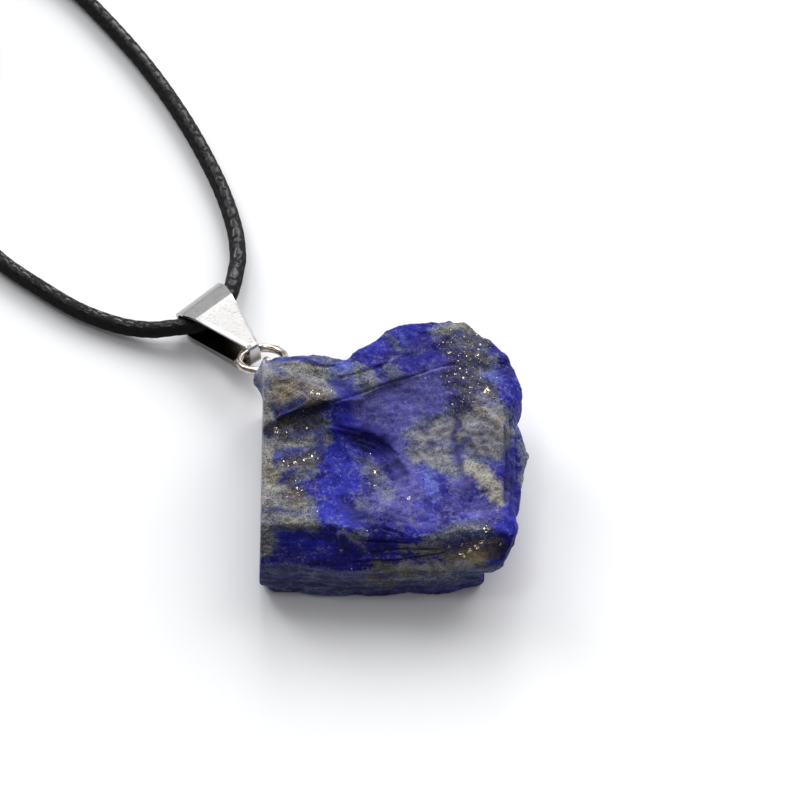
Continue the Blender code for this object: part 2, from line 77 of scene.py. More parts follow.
# Colours, one stroke each: (half its width in pixels, how strong it is, its points)
EDGE_SOFTNESS = 4.0
STROKES = {
    "gray": [
        (16, 1.0, (268, 368), (300, 371), (324, 380)),
        (13, 1.0, (272, 392), (298, 398), (318, 397)),
        (9, 1.0, (270, 425), (295, 425), (318, 421)),
        (8, 1.0, (265, 402), (267, 420)),
        (9, 0.9, (268, 440), (300, 440), (322, 440)),
        (13, 1.0, (266, 452), (270, 475), (266, 500)),
        (10, 0.9, (285, 462), (308, 459)),
        (7, 0.7, (292, 476), (310, 473)),
        (13, 1.0, (268, 492), (285, 501), (302, 506)),
        (9, 1.0, (270, 516), (295, 521), (312, 522)),
        (8, 0.9, (265, 520), (266, 552)),
        (12, 0.9, (421, 433), (449, 423)),
        (12, 0.9, (421, 450), (443, 458)),
        (8, 0.9, (438, 463), (453, 468)),
        (9, 1.0, (460, 417), (503, 413)),
        (15, 1.0, (463, 437), (500, 432)),
        (10, 0.9, (480, 453), (495, 450)),
        (8, 0.9, (440, 327), (462, 322), (480, 332)),
        (8, 0.7, (458, 342), (482, 340)),
        (9, 0.8, (470, 350), (488, 362)),
        (9, 0.7, (472, 368), (488, 394)),
        (7, 0.6, (460, 366), (470, 402)),
        (5, 0.5, (386, 336), (396, 350)),
        (6, 0.7, (389, 368), (393, 378)),
        (9, 0.8, (361, 376), (367, 384)),
        (4, 0.7, (312, 357), (338, 358)),
        (9, 0.47, (368, 466), (380, 482), (386, 498)),
        (8, 0.36, (358, 500), (372, 512)),
        (7, 0.8, (430, 540), (452, 531), (480, 527)),
        (5, 0.6, (357, 536), (361, 537)),
        (4, 0.8, (523, 446), (529, 466), (524, 484)),
        (8, 0.8, (257, 366), (261, 377)),
        (6, 0.5, (331, 372), (347, 376)),
    ],
    "tan": [
        (11, 0.8, (276, 390), (300, 384), (322, 394)),
        (8, 0.7, (286, 466), (309, 460)),
        (6, 0.8, (288, 484), (296, 498)),
        (9, 0.7, (268, 472), (286, 478)),
        (9, 1.0, (452, 556), (478, 550), (496, 545)),
        (6, 0.8, (485, 426), (492, 437)),
        (5, 0.6, (300, 408), (322, 402)),
    ],
    "olive": [
        (7, 0.5, (444, 327), (462, 325), (478, 331)),
        (6, 0.9, (376, 567), (408, 571), (440, 568), (478, 563)),
        (4, 0.8, (370, 581), (392, 584)),
        (6, 0.8, (404, 549), (446, 550), (470, 558)),
        (5, 0.6, (355, 534), (363, 538)),
        (5, 0.6, (484, 446), (498, 448)),
        (4, 0.5, (274, 402), (300, 414)),
    ],
    "cream": [
        (8, 0.9, (467, 463), (482, 475), (494, 488), (500, 497)),
        (6, 0.6, (266, 482), (284, 489)),
        (5, 0.6, (266, 446), (270, 466)),
        (4, 0.6, (498, 414), (504, 432)),
        (6, 0.4, (264, 500), (272, 512)),
        (1.2, 0.6, (343, 530), (352, 541), (363, 550)),
    ],
    "cobalt": [
        (10, 1.0, (334, 432), (348, 420), (344, 412)),
        (17, 1.0, (340, 452), (346, 480)),
        (14, 1.0, (336, 490), (322, 508)),
        (8, 0.9, (327, 517), (346, 515)),
        (13, 0.55, (426, 470), (432, 492), (425, 515)),
        (7, 1.0, (412, 533), (431, 538)),
        (3, 0.9, (268, 359), (312, 359)),
        (6, 0.8, (334, 394), (352, 391), (370, 387)),
        (9, 0.7, (366, 352), (388, 337)),
        (11, 0.55, (394, 336), (425, 330)),
        (9, 0.4, (400, 356), (440, 362)),
        (9, 0.7, (507, 382), (517, 399), (510, 410)),
        (4, 0.8, (514, 428), (513, 452)),
        (8, 0.9, (511, 508), (509, 532)),
        (9, 0.7, (266, 560), (282, 538)),
        (10, 0.9, (290, 540), (330, 548)),
        (4, 1.0, (254, 384), (260, 391)),
        (8, 0.45, (345, 560), (390, 556)),
        (6, 0.35, (285, 454), (296, 450)),
    ],
    "azure": [
        (6, 0.8, (343, 358), (352, 370)),
        (7, 0.7, (488, 370), (495, 378)),
        (7, 0.70, (428, 468), (432, 496)),
        (5, 0.7, (328, 366), (347, 372)),
        (4, 0.6, (347, 446), (356, 464)),
        (5, 0.5, (330, 520), (338, 520)),
        (4, 0.5, (278, 452), (292, 446)),
        (4, 0.6, (402, 334), (404, 342)),
    ],
    "violet": [
        (17, 1.0, (356, 413), (400, 395), (444, 379)),
        (16, 1.0, (388, 426), (420, 411), (446, 403)),
        (14, 1.0, (398, 440), (405, 465), (411, 490)),
        (14, 0.8, (385, 500), (405, 515), (426, 521)),
        (11, 0.8, (455, 474), (461, 492)),
        (11, 0.9, (474, 511), (504, 506)),
        (10, 0.25, (414, 350), (440, 352)),
        (7, 0.8, (460, 334), (474, 336)),
        (5, 0.8, (452, 438), (458, 457)),
        (10, 0.5, (370, 500), (385, 512)),
        (9, 0.5, (436, 503), (474, 513)),
    ],
    # dark: painted shade in the grooves, under the ledges, on the scoop's rim and on the front bevel, together with
    # darker indigo patches of the stone
    "dark": [
        (3, 0.6, (332, 404), (352, 397), (378, 388), (400, 382)),
        (8, 0.4, (446, 338), (462, 340)),
        (7, 0.3, (446, 329), (476, 331)),
        (3, 0.9, (278, 419), (292, 412), (308, 406)),
        (14, 0.35, (398, 344), (432, 350)),
        (10, 0.35, (438, 338), (448, 344)),
        (4, 1.0, (278, 424), (303, 417), (328, 407)),
        (2.5, 1.0, (283, 417), (300, 410), (318, 404)),
        (6, 0.8, (296, 424), (318, 420)),
        (3, 0.7, (326, 403), (350, 393), (377, 384), (407, 375)),
        (5, 1.0, (282, 420), (302, 413), (326, 405)),
        (5, 0.9, (339, 428), (369, 428), (390, 441)),
        (9, 0.75, (357, 438), (386, 451)),
        (10, 0.5, (373, 454), (397, 472)),
        (8, 0.6, (353, 511), (373, 519)),
        (12, 0.5, (284, 532), (320, 537), (356, 556)),
        (10, 0.9, (494, 552), (509, 541)),
        (3, 0.8, (507, 430), (507, 500)),
        (7, 0.7, (449, 340), (457, 356)),
        (7, 0.5, (455, 362), (460, 394)),
        (5, 0.7, (277, 409), (292, 404)),
        (4, 0.6, (283, 458), (289, 457)),
        (4, 0.6, (286, 480), (289, 482)),
        (6, 0.6, (362, 541), (404, 543)),
        (5, 0.7, (506, 440), (514, 512)),
        (5, 0.5, (372, 468), (377, 474)),
    ],
    "inlay": [
        (3, 1.0, (266, 358), (300, 358), (318, 360)),
        (4, 0.6, (272, 366), (286, 371)),
        (4.0, 0.8, (286, 413), (289, 404), (301, 401)),
        (6, 0.8, (279, 455), (295, 450)),
        (5, 0.8, (284, 481), (290, 472)),
        (5, 0.8, (318, 436), (322, 450)),
        (6, 0.9, (334, 380), (350, 388)),
        (5, 0.7, (458, 446), (468, 438)),
        (4, 0.7, (454, 452), (462, 458)),
        (4, 0.6, (488, 456), (500, 462)),
        (4, 0.6, (270, 512), (280, 510)),
        (4, 0.6, (300, 430), (310, 434)),
    ],
    "haze": [
        (5, 0.6, (404, 567), (470, 566)),
        (6, 0.8, (257, 366), (261, 377)),
        (5, 0.45, (398, 579), (450, 578)),
        (16, 0.80, (474, 436), (492, 432)),
        (11, 0.75, (424, 434), (444, 432)),
        (9, 0.75, (418, 452), (440, 462)),
        (8, 0.6, (492, 405), (503, 412)),
        (6, 0.5, (302, 376), (326, 384)),
        (7, 0.25, (366, 478), (384, 496)),
        (7, 0.5, (368, 372), (376, 382)),
    ],
    "ochre": [
        (4, 0.9, (485, 384), (490, 392)),
        (9, 0.45, (468, 392), (484, 408)),
        (3, 0.6, (500, 418), (497, 424)),
        (3, 0.6, (291, 384), (283, 396), (279, 410), (281, 424)),
        (4, 0.6, (276, 430), (280, 436)),
        (5, 0.5, (474, 340), (484, 337)),
        (6, 1.0, (474, 555), (492, 551)),
        (4, 0.7, (462, 551), (474, 553)),
        (4, 0.6, (466, 554), (476, 556)),
        (4, 0.5, (305, 396), (322, 402)),
    ],
    "stain": [
        (3.0, 0.9, (458, 408), (456, 426), (452, 438), (457, 453), (463, 465)),
        (3.5, 0.9, (421, 427), (426, 426)),
        (3.5, 0.8, (429, 441), (434, 446)),
        (3.0, 0.7, (297, 374), (300, 376)),
        (2.5, 0.6, (480, 430), (484, 438)),
        (3.0, 0.6, (474, 452), (482, 458)),
        (3.0, 0.7, (460, 470), (466, 482)),
        (2.5, 0.6, (268, 398), (276, 396)),
        (2.5, 0.7, (270, 508), (300, 512)),
        (3.0, 0.7, (446, 548), (462, 546)),
    ],
    "pyrite": [
        (9, 0.5, (300, 386), (320, 396)),
        (7, 0.9, (272, 430), (280, 433)),
        (8, 0.8, (298, 424), (316, 418)),
        (8, 0.9, (292, 461), (313, 454)),
        (7, 0.8, (292, 482), (299, 490)),
        (5, 0.6, (287, 496), (290, 498)),
        (9, 0.9, (447, 340), (456, 360), (452, 382)),
        (8, 0.8, (466, 341), (484, 338)),
        (8, 0.8, (474, 352), (485, 362)),
        (10, 0.95, (465, 358), (469, 385), (463, 405)),
        (5, 0.9, (484, 386), (491, 392)),
        (6, 0.4, (478, 408), (486, 418)),
        (6, 0.5, (374, 470), (377, 486)),
        (8, 0.75, (448, 549), (490, 541)),
        (6, 0.9, (484, 527), (490, 531)),
        (5, 0.4, (338, 551), (346, 549)),
        (7, 0.1, (386, 362), (412, 350)),
    ],
}

# Glints that stand out, as (across, down, radius)
GLINTS = [
    (487, 388, 2.2), (487, 529, 3.0), (482, 543, 2.8), (470, 551, 2.8), (475, 547, 2.4), (464, 556, 2.2), (461, 554, 2.0), (449, 548, 1.8),
    (313, 392, 1.8), (318, 394, 2.0), (307, 413, 1.5), (276, 430, 2.9), (307, 427, 1.6), (306, 458, 2.0),
    (311, 455, 2.6), (295, 461, 1.9), (298, 487, 1.8), (288, 496, 1.4), (375, 471, 1.7), (375, 485, 1.3),
    (409, 497, 1.3), (341, 551, 1.3), (318, 510, 1.2), (449, 352, 1.6), (477, 354, 1.7), (483, 336, 1.3),
    (464, 378, 1.3), (473, 343, 1.4), (500, 545, 1.3), (477, 548, 1.8),
]

# Grooves and cracks: (width in pixels, depth in millimetres, points)
GROOVES = [
    (5.0, 0.55, (281, 421), (300, 415), (328, 406)),
    (1.9, 0.18, (325, 407), (350, 396), (377, 387), (407, 378), (433, 368), (456, 363)),
    (2.2, 0.16, (341, 377), (362, 371), (382, 366)),
    (2.4, 0.15, (326, 424), (352, 430), (378, 441), (396, 455)),
    (1.8, 0.12, (350, 435), (376, 443), (390, 454)),
    (1.8, 0.12, (354, 441), (376, 449), (388, 460)),
    (1.8, 0.10, (360, 447), (378, 456), (388, 467)),
    (1.6, 0.34, (360, 541), (384, 542), (408, 543)),
    (1.4, 0.25, (384, 528), (399, 532), (403, 537)),
    (1.6, 0.28, (350, 562), (400, 560), (444, 553)),
    (1.4, 0.24, (370, 553), (398, 549), (440, 550)),
    (1.4, 0.20, (344, 567), (374, 566)),
    (1.8, 0.30, (506, 426), (508, 470), (506, 502)),
    (1.8, 0.26, (512, 420), (514, 468), (512, 515)),
    (1.6, 0.22, (518, 438), (519, 500)),
    (1.6, 0.18, (300, 361), (326, 366), (344, 362)),
    (2.0, 0.14, (455, 440), (459, 470)),
    (2.0, 0.12, (268, 560), (330, 563), (380, 566)),
]

# Broad dents and fine raised rims: (width in pixels, height in millimetres, points)
DENTS = [
    (12.0, -0.50, (440, 316), (455, 318)),
    (9.0, -0.16, (300, 372), (312, 376)),
    (8.0, -0.14, (276, 390), (286, 396)),
    (8.0, 0.16, (296, 396), (320, 398)),
    (1.8, 0.10, (264, 362), (280, 356), (305, 357), (322, 364)),
    (1.6, 0.08, (268, 367), (284, 361), (304, 362), (318, 368)),
    (1.6, 0.09, (322, 370), (330, 380), (334, 394)),
    (6.0, 0.14, (348, 386), (366, 380)),
    (7.0, -0.12, (470, 366), (488, 372)),
    (8.0, 0.14, (478, 412), (494, 418)),
    (7.0, -0.14, (430, 426), (438, 434)),
    (6.0, -0.12, (340, 500), (352, 506)),
    (6.0, 0.12, (372, 498), (392, 506)),
]

# Cord: the route repeats the construction's, before its origin was set
ORIGIN_AT = Vector((-0.37, 0.39, 0.0))
CORD_THICK = 1.8
STRAND_TO_TOP = [
    (-14.8, 15.0, 2.05),
    (-13.5, 16.75, 2.05),
    (-12.85, 18.9, 1.95),
    (-12.5, 21.4, 1.6),
    (-12.35, 23.5, 1.35),
    (-12.9, 27.7, 1.05),
    (-14.8, 33.8, 0.95),
    (-18.5, 41.9, 0.95),
    (-23.4, 50.2, 0.95),
    (-29.7, 58.6, 0.95),
    (-33.8, 62.8, 0.95),
    (-38.5, 65.9, 1.0),
    (-43.5, 67.2, 1.3),
    (-48.5, 66.5, 1.9),
]
STRAND_TO_LEFT = [
    (-14.8, 15.0, 2.05),
    (-16.2, 14.15, 2.05),
    (-17.7, 13.8, 2.0),
    (-19.3, 13.75, 1.75),
    (-21.3, 13.8, 1.4),
    (-24.5, 14.6, 1.05),
    (-28.7, 16.5, 0.95),
    (-33.0, 19.5, 0.95),
    (-37.4, 23.1, 0.95),
    (-40.6, 27.2, 0.95),
    (-42.3, 32.0, 0.95),
    (-42.6, 37.5, 0.95),
    (-42.0, 43.5, 0.95),
    (-41.2, 50.1, 0.95),
]
COIL_MIDDLE = Vector((-54.5, 54.0, 0.0))
COIL_OUTER_TURN = 11.7
COIL_ENDS_AT = 920.0
KNOT_MIDDLE = Vector((-54.7, 49.6, 1.95))
KNOT_REACH = (0.62, 0.40, 1.0)
KNOT_STRAND = 1.5

# A round braid of four strands: columns of ovals that lean to alternate sides
BRAID_COLUMNS = 4
BRAID_STITCH = 1.45
BRAID_LEAN = math.radians(24.0)
BRAID_DEPTH = 0.15
OVAL_LENGTH = 0.98
OVAL_WIDTH = 0.74
# The crowns are rubbed flat this far to each side, by this share of the braid's depth
FLAT_WIDTH = 0.26
FLAT_DEPTH = 0.30

# Bail, ring and eye: the shapes repeat the construction's, with more detail
FOLD_AXIS = Vector((0.796, 0.605, 0.0))
BAIL_LENGTHWISE = Vector((0.600, -0.787, 0.12)).normalized()
BAIL_MIDDLE = Vector((-15.2, 15.55, 2.03))
BAIL_WIDTH = 5.7
BAIL_FOOT_WIDTH = 1.25
BAIL_THICKNESS = 4.0
BAIL_REACH = 8.5
BAIL_STRIP = 0.34
BAIL_FOLD_LENGTH = 2.9
BAIL_FOLD_SHIFT = 1.0
BAIL_SKEW = 0.11
FOLD_CREASE = math.radians(30.0)
BAIL_CREASE_AT = 1.4
BAIL_LOW_ROUND = 2.3
BAIL_LEFT_BEVEL = 0.48
BAIL_RIGHT_BEVEL = 0.26
BAIL_END_BEVEL = 0.46
BEVEL_DROP = 0.15
LEFT_BEVEL_DROP = 0.06
END_BEVEL_DROP = 0.05
RING_MIDDLE = Vector((-9.56, 8.15, 4.0))
RING_HEADING = math.radians(8.0)
RING_TILT = math.radians(25.0)
RING_RADIUS = 2.38
RING_WIRE = 0.44
RING_GAP = math.radians(1.6)
RING_GAP_AT = math.radians(250.0)
EYE_TURN = math.radians(15.0)
EYE_RADIUS = 1.1
EYE_WIRE = 0.32
PIN_INTO_STONE = Vector((0.385, -0.923, 0.0))
PIN_LENGTH = 5.2


# Small helpers


def link(name, mesh, body):
    obj = bpy.data.objects.new(name, mesh)
    bpy.context.scene.collection.objects.link(obj)
    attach(obj, body)
    return obj


def smooth_step(value):
    value = np.clip(value, 0.0, 1.0)
    return value * value * (3.0 - 2.0 * value)


class Nodes:
    """Builds the node tree of a material, or of the world."""

    def __init__(self, name):
        self.material = bpy.data.materials.new(name)
        self.material.use_nodes = True
        self.tree = self.material.node_tree
        self.shader = self.tree.nodes["Principled BSDF"]

    @classmethod
    def of_tree(cls, tree):
        nodes = cls.__new__(cls)
        nodes.tree = tree
        return nodes

    def put(self, socket, value):
        if isinstance(value, bpy.types.NodeSocket):
            self.tree.links.new(value, socket)
        elif isinstance(value, tuple) and len(value) == 3 and socket.type == "RGBA":
            socket.default_value = (*value, 1.0)
        else:
            socket.default_value = value

    def new(self, kind, **inputs):
        node = self.tree.nodes.new(kind)
        for key, value in inputs.items():
            self.put(node.inputs[key.replace("_", " ")], value)
        return node

    def maths(self, operation, a, b=0.5, clamp=False):
        node = self.tree.nodes.new("ShaderNodeMath")
        node.operation = operation
        node.use_clamp = clamp
        self.put(node.inputs[0], a)
        self.put(node.inputs[1], b)
        return node.outputs[0]

    def mix(self, share, a, b, kind="MIX"):
        node = self.tree.nodes.new("ShaderNodeMix")
        node.data_type = "RGBA"
        node.blend_type = kind
        self.put(node.inputs[0], share)
        self.put(node.inputs[6], a)
        self.put(node.inputs[7], b)
        return node.outputs[2]

    def between(self, share, a, b):
        node = self.tree.nodes.new("ShaderNodeMix")
        self.put(node.inputs[0], share)
        self.put(node.inputs[2], a)
        self.put(node.inputs[3], b)
        return node.outputs[0]

    def steps(self, value, low, high, to_low=0.0, to_high=1.0):
        node = self.tree.nodes.new("ShaderNodeMapRange")
        node.interpolation_type = "SMOOTHSTEP"
        self.put(node.inputs[0], value)
        node.inputs[1].default_value = low
        node.inputs[2].default_value = high
        node.inputs[3].default_value = to_low
        node.inputs[4].default_value = to_high
        return node.outputs[0]

    def place(self, stretch=(1.0, 1.0, 1.0)):
        """The row frame's position in millimetres."""
        coordinates = self.tree.nodes.new("ShaderNodeTexCoord")
        scaled = self.tree.nodes.new("ShaderNodeVectorMath")
        scaled.operation = "MULTIPLY"
        self.tree.links.new(coordinates.outputs["Object"], scaled.inputs[0])
        scaled.inputs[1].default_value = tuple(value / MM for value in stretch)
        return scaled.outputs[0]

    def vector(self, operation, a, b):
        node = self.tree.nodes.new("ShaderNodeVectorMath")
        node.operation = operation
        self.put(node.inputs[0], a)
        self.put(node.inputs["Scale"] if operation == "SCALE" else node.inputs[1], b)
        return node.outputs[0]

    def noise(self, place, size, detail=4.0, roughness=0.55, colour=False):
        node = self.new(
            "ShaderNodeTexNoise", Vector=place, Scale=1.0 / size, Detail=detail, Roughness=roughness
        )
        return node.outputs[1 if colour else 0]

    def cells(self, place, size, feature="F1"):
        node = self.new("ShaderNodeTexVoronoi", Vector=place, Scale=1.0 / size)
        node.feature = feature
        return node

    def mask(self, name):
        node = self.tree.nodes.new("ShaderNodeAttribute")
        node.attribute_name = name
        return node.outputs["Fac"]

    def bump(self, height, distance, strength=1.0, under=None):
        node = self.new("ShaderNodeBump", Height=height, Distance=distance * MM, Strength=strength)
        if under:
            self.put(node.inputs["Normal"], under)
        return node.outputs[0]

    def finish(self, **inputs):
        for key, value in inputs.items():
            self.put(self.shader.inputs[key.replace("_", " ")], value)
        return self.material


# Materials


def pyrite_grains(n, place, size, share, density):
    """(how much of this point is a grain, the grain's own random colour)."""
    cells = n.cells(place, size)
    chance = n.new("ShaderNodeSeparateColor", Color=cells.outputs["Color"])
    chosen = n.maths("LESS_THAN", chance.outputs[0], density)
    radius = n.maths("MULTIPLY", n.maths("ADD", chance.outputs[1], 0.35), share)
    inside = n.maths("LESS_THAN", cells.outputs["Distance"], radius)
    return n.maths("MULTIPLY", chosen, inside), cells.outputs["Color"]


def lapis_material():
    n = Nodes("lapis")
    place = n.place()
    turned = n.place((1.0, -1.0, 1.3))
    cloud = n.noise(place, 2.8, 3.0, 0.6)
    patches = n.noise(place, 1.1, 5.0, 0.6)
    patches_too = n.noise(turned, 0.9, 5.0, 0.6)
    speckle = n.noise(place, 0.40, 3.0, 0.65)
    speckle_too = n.noise(turned, 0.32, 3.0, 0.65)
    grain = n.noise(place, 0.17, 2.0, 0.7)
    grain_too = n.noise(turned, 0.20, 2.0, 0.6)
    streaks = n.noise(n.place((0.22, 0.8, 1.3)), 0.9, 6.0, 0.7)

    def blend(name, edge, amount=1.0, soft=0.43):
        """A mask whose edge wanders and breaks up into specks as it fades."""
        wander = n.maths("MULTIPLY", n.maths("SUBTRACT", edge, 0.5), amount)
        grit = n.maths("MULTIPLY", n.maths("SUBTRACT", speckle_too, 0.5), 0.9)
        value = n.maths("ADD", n.mask(name), n.maths("ADD", wander, grit))
        return n.steps(value, 0.5 - soft, 0.5 + soft)

    colour = n.mix(n.steps(cloud, 0.38, 0.62), (0.008, 0.0065, 0.130), (0.014, 0.0115, 0.225))
    film = n.maths("MULTIPLY", n.steps(patches, 0.46, 0.66), 0.08)
    colour = n.mix(film, colour, (0.105, 0.105, 0.300))
    colour = n.mix(blend("violet", patches_too), colour, (0.078, 0.073, 0.292))
    colour = n.mix(blend("cobalt", patches), colour, (0.013, 0.016, 0.295))
    colour = n.mix(blend("azure", patches_too), colour, (0.090, 0.115, 0.420))
    slate = n.mix(n.steps(streaks, 0.36, 0.62), (0.030, 0.034, 0.115), (0.090, 0.096, 0.200))
    colour = n.mix(n.mask("wall"), colour, slate)
    foot = n.mix(n.steps(streaks, 0.40, 0.60), (0.040, 0.034, 0.180), (0.080, 0.074, 0.260))
    colour = n.mix(n.mask("wall_foot"), colour, foot)
    pale = n.mix(n.steps(patches_too, 0.36, 0.64), (0.135, 0.132, 0.124), (0.268, 0.266, 0.256))
    pale = n.mix(n.steps(cloud, 0.45, 0.60, 0.0, 0.5), pale, (0.150, 0.150, 0.175))
    gray = blend("gray", patches)
    rim = n.maths("MULTIPLY", n.maths("MULTIPLY", gray, n.maths("SUBTRACT", 1.0, gray)), 2.8, True)
    colour = n.mix(gray, colour, pale)
    colour = n.mix(rim, colour, (0.075, 0.095, 0.200))
    colour = n.mix(blend("tan", patches_too, 1.4), colour, (0.170, 0.145, 0.105))
    colour = n.mix(blend("olive", patches_too, 1.2), colour, (0.118, 0.118, 0.085))
    layers = n.noise(n.place((0.10, 1.0, 1.6)), 0.55, 5.0, 0.75)
    banded = n.mix(n.steps(layers, 0.40, 0.62), (0.45, 0.45, 0.50), (1.35, 1.35, 1.30))
    colour = n.mix(n.mask("layered"), colour, banded, "MULTIPLY")
    colour = n.mix(blend("cream", patches, 1.0, 0.44), colour, (0.270, 0.257, 0.215))
    haze = blend("haze", patches_too, 1.4)
    colour = n.mix(haze, colour, (0.205, 0.203, 0.232))
    colour = n.mix(blend("ochre", patches, 1.2), colour, (0.240, 0.185, 0.100))
    colour = n.mix(blend("inlay", patches_too, 1.2), colour, (0.028, 0.032, 0.190))
    colour = n.mix(blend("stain", patches, 0.8), colour, (0.035, 0.030, 0.110))
    # Darkens where the dark strokes lie: painted shade in grooves and under ledges, together with darker indigo
    # patches
    shade_and_dark_patches = n.maths("MULTIPLY", blend("dark", patches_too, 0.8, 0.45), 0.90)
    shade_and_dark_tint = n.mix(gray, (0.075, 0.055, 0.460), (0.105, 0.090, 0.092))
    colour = n.mix(shade_and_dark_patches, colour, shade_and_dark_tint, "MULTIPLY")
    colour = n.mix(n.maths("MULTIPLY", n.mask("sawn"), n.steps(patches, 0.36, 0.64, 0.25, 0.70)), colour, (0.230, 0.232, 0.300))
    # painted highlight: a lighter line along the upward-facing rim of the sawn edge
    colour = n.mix(n.maths("MULTIPLY", n.mask("painted_edge_highlight"), n.steps(speckle_too, 0.3, 0.6, 0.5, 0.9)), colour, (0.290, 0.290, 0.350))

    paleness = n.new("ShaderNodeSeparateColor", Color=colour).outputs[1]
    # Dark specks on the paler parts: partly darker grains, partly painted shade in fine pits
    pit_shade_and_grains = n.maths("MAXIMUM", n.steps(speckle, 0.42, 0.34), n.steps(grain_too, 0.44, 0.34))
    specks = n.maths("MULTIPLY", pit_shade_and_grains, n.steps(paleness, 0.04, 0.16, 0.12, 0.62))
    specks = n.maths("MULTIPLY", specks, n.steps(haze, 0.0, 0.8, 1.0, 0.25))
    colour = n.mix(specks, colour, (0.022, 0.021, 0.024))
    gritty = n.maths("ADD", n.maths("MULTIPLY", gray, 0.24), 0.25)
    gritty = n.maths("MULTIPLY", gritty, n.steps(haze, 0.0, 1.0, 1.0, 0.35))
    mottle = n.maths("MULTIPLY", n.steps(grain, 0.34, 0.66, -1.0, 1.0), gritty)
    mottle = n.maths("ADD", mottle, n.steps(speckle_too, 0.34, 0.66, -0.16, 0.16))
    mottle = n.maths("ADD", mottle, n.steps(patches, 0.34, 0.66, 0.92, 1.20))
    level = n.new("ShaderNodeCombineColor")
    for channel in range(3):
        n.put(level.inputs[channel], mottle)
    colour = n.mix(1.0, colour, level.outputs[0], "MULTIPLY")
    dust = n.maths("MULTIPLY", n.steps(grain, 0.60, 0.72), 0.09)
    colour = n.mix(dust, colour, (0.330, 0.330, 0.420))

    ragged = n.maths("MULTIPLY", n.maths("SUBTRACT", speckle, 0.5), 1.6)
    matrix = n.maths("MULTIPLY", n.steps(n.maths("ADD", n.mask("pyrite"), ragged), 0.15, 0.75), 0.70)
    colour = n.mix(matrix, colour, n.mix(patches_too, (0.008, 0.007, 0.085), (0.034, 0.031, 0.060)))
    colour = n.mix(n.maths("MULTIPLY", matrix, n.steps(grain_too, 0.55, 0.66)), colour, (0.150, 0.145, 0.135))
    density = n.maths("ADD", n.maths("MULTIPLY", n.mask("pyrite"), 0.25), 0.006)
    density = n.maths("ADD", density, n.mask("glint"))
    large, large_tone = pyrite_grains(n, place, 0.20, 0.34, density)
    small, small_tone = pyrite_grains(n, place, 0.11, 0.42, n.maths("MULTIPLY", density, 2.0))
    metal = n.maths("MAXIMUM", large, small, True)
    tone = n.mix(large, small_tone, large_tone)
    bright = n.new("ShaderNodeSeparateColor", Color=tone).outputs[2]
    # Grains get random dark brown tones; the brightest few and the listed glints get a light metal colour as painted
    # highlights
    gold = n.mix(bright, (0.022, 0.018, 0.012), (0.120, 0.100, 0.058))
    gold = n.mix(n.steps(bright, 0.88, 1.0), gold, (0.460, 0.415, 0.300))
    gold = n.mix(n.mask("glint"), gold, (0.950, 0.850, 0.600))
    colour = n.mix(metal, colour, gold)

    rough = n.between(metal, n.maths("ADD", n.maths("MULTIPLY", speckle, 0.3), 0.42), 0.20)
    smooth = n.maths("SUBTRACT", 0.80, n.maths("MULTIPLY", n.mask("violet"), 0.55))
    normal = n.bump(n.noise(place, 0.8, 6.0, 0.62), 0.22, smooth)
    normal = n.bump(grain, 0.03, 0.7, normal)
    facet = n.vector("SCALE", n.vector("SUBTRACT", tone, (0.5, 0.5, 0.5)), n.maths("MULTIPLY", metal, 1.5))
    normal = n.vector("NORMALIZE", n.vector("ADD", normal, facet), (0.0, 0.0, 0.0))
    return n.finish(
        Base_Color=colour, Metallic=metal, Roughness=rough, Normal=normal, Specular_IOR_Level=0.12
    )


def steel_material():
    """Polished strip: bright outside with fine scratches and lighter bevels as painted highlight, dark inside and
    round its foot as painted shade.
    """
    n = Nodes("polished_steel")
    place = n.place()
    smudges = n.noise(place, 1.3, 4.0, 0.6)
    scratches = n.noise(n.place((0.6, 2.6, 2.0)), 0.45, 5.0, 0.75)
    more_scratches = n.noise(n.place((2.4, 0.9, 2.0)), 0.35, 5.0, 0.75)
    worn = n.maths("MAXIMUM", n.steps(scratches, 0.50, 0.64), n.steps(more_scratches, 0.50, 0.66))
    worn = n.maths("MULTIPLY", worn, n.steps(smudges, 0.34, 0.56, 0.25, 1.0))
    worn = n.maths("MULTIPLY", worn, n.maths("SUBTRACT", 1.0, n.mask("bevel")))
    colour = n.mix(worn, (0.435, 0.429, 0.420), (0.300, 0.293, 0.284))
    # painted highlight: the bevels get a lighter metal colour than the leaf
    colour = n.mix(n.mask("bevel"), colour, (0.560, 0.556, 0.548))
    # painted shade: the strip's inside faces and the corner round its foot get a dark colour
    colour = n.mix(n.steps(n.mask("inside"), 0.3, 0.9), colour, (0.130, 0.110, 0.090))
    rough = n.maths("ADD", n.maths("MULTIPLY", smudges, 0.08), 0.10)
    return n.finish(
        Base_Color=colour, Metallic=1.0, Roughness=rough, Normal=n.bump(scratches, 0.02, 0.3)
    )


def plated_material():
    """Warm plated wire with browned patches."""
    n = Nodes("plated_wire")
    place = n.place()
    patches = n.noise(place, 0.9, 4.0, 0.6)
    colour = n.mix(n.steps(patches, 0.42, 0.66), (0.600, 0.560, 0.510), (0.230, 0.180, 0.140))
    rough = n.maths("ADD", n.maths("MULTIPLY", patches, 0.18), 0.08)
    return n.finish(Base_Color=colour, Metallic=1.0, Roughness=rough)


